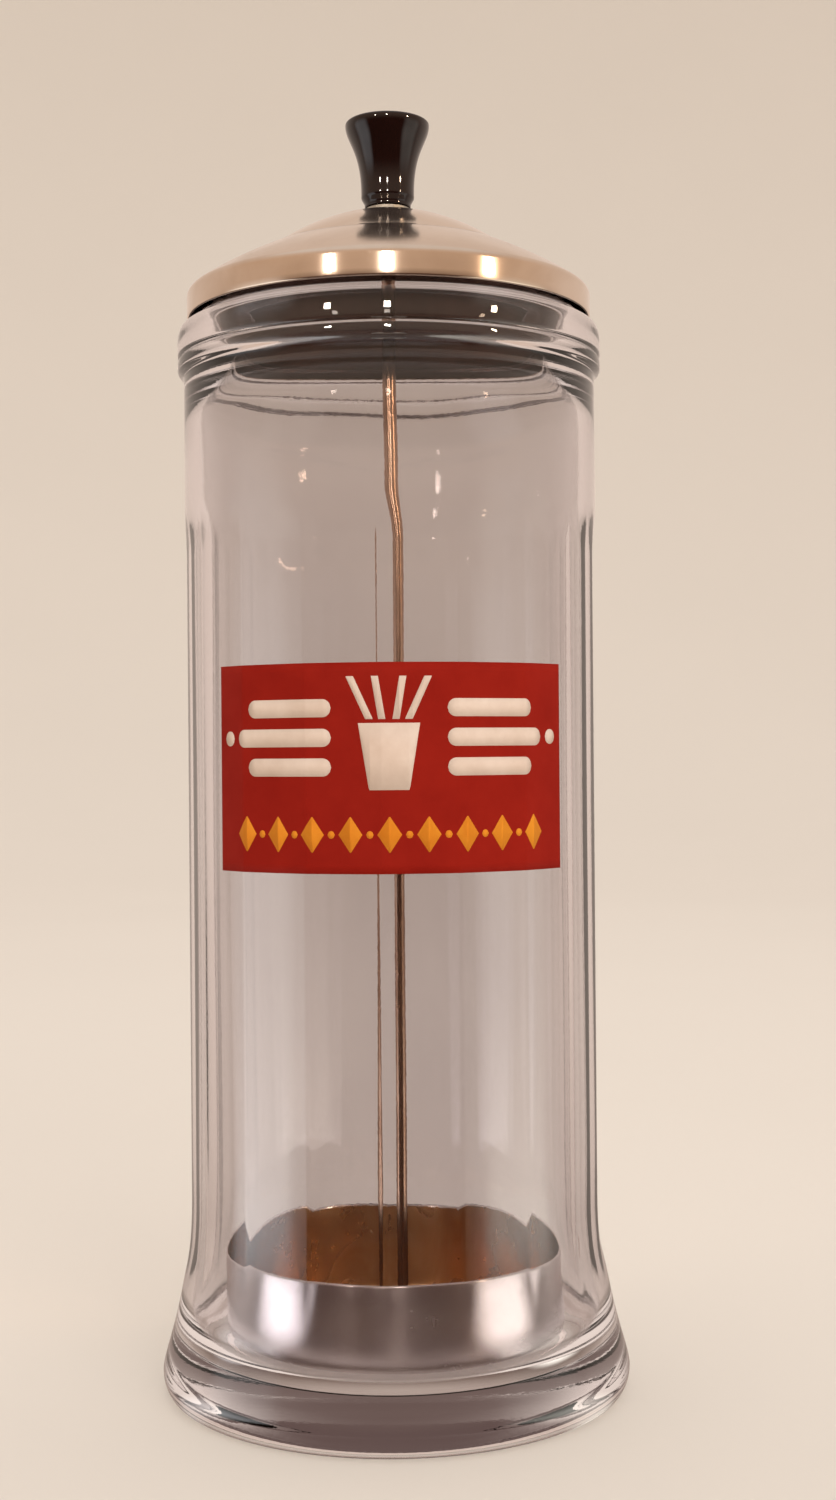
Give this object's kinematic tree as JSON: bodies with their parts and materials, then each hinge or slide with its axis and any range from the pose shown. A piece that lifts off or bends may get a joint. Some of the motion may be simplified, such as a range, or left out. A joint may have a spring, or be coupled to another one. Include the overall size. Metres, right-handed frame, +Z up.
{
  "type": "straw dispenser",
  "caption": "Tall clear glass jar with flat panels and a flared foot; a domed steel lid lifts off by a black knob, with a rod and a steel cup that raise the straws.",
  "frame": {"origin": "centre of the jar's foot ring, on the surface that it stands on", "axes": "+Z up along the jar and the rod, -Y towards the printed label"},
  "size_m": [0.1074, 0.1074, 0.292],
  "materials": {
    "clear_glass": "polished, fire-smooth",
    "label_print": "red screen-printed ink, satin",
    "lid_steel": "satin stainless, faint spinning marks",
    "cup_steel": "polished stainless, deep drawn",
    "rod_steel": "drawn steel, semi-gloss",
    "plated_steel": "zinc plated",
    "insert_brass": "turned",
    "black_plastic": "glossy moulded"
  },
  "bodies": {
    "jar": {"glass_jar": "clear_glass", "front_label": "label_print"},
    "lid": {"lid_shell": "lid_steel"},
    "lift": {"knob": "black_plastic", "knob_insert": "insert_brass", "knob_washer": "plated_steel", "lift_rod": "rod_steel", "lid_washer": "plated_steel", "lid_nut": "plated_steel", "straw_cup": "cup_steel", "cup_upper_washer": "plated_steel", "cup_upper_nut": "plated_steel", "cup_lower_washer": "plated_steel", "cup_lower_nut": "plated_steel"}
  },
  "joints": [
    {"name": "lid_lift", "type": "slide", "parent": "jar", "child": "lid", "axis": [0, 0, 1], "range_m": [0, 0.255]},
    {"name": "rod_turn", "type": "hinge", "parent": "lid", "child": "lift", "pos_m": [0, 0, 0.2], "axis": [0, 0, 1], "continuous": true}
  ]
}
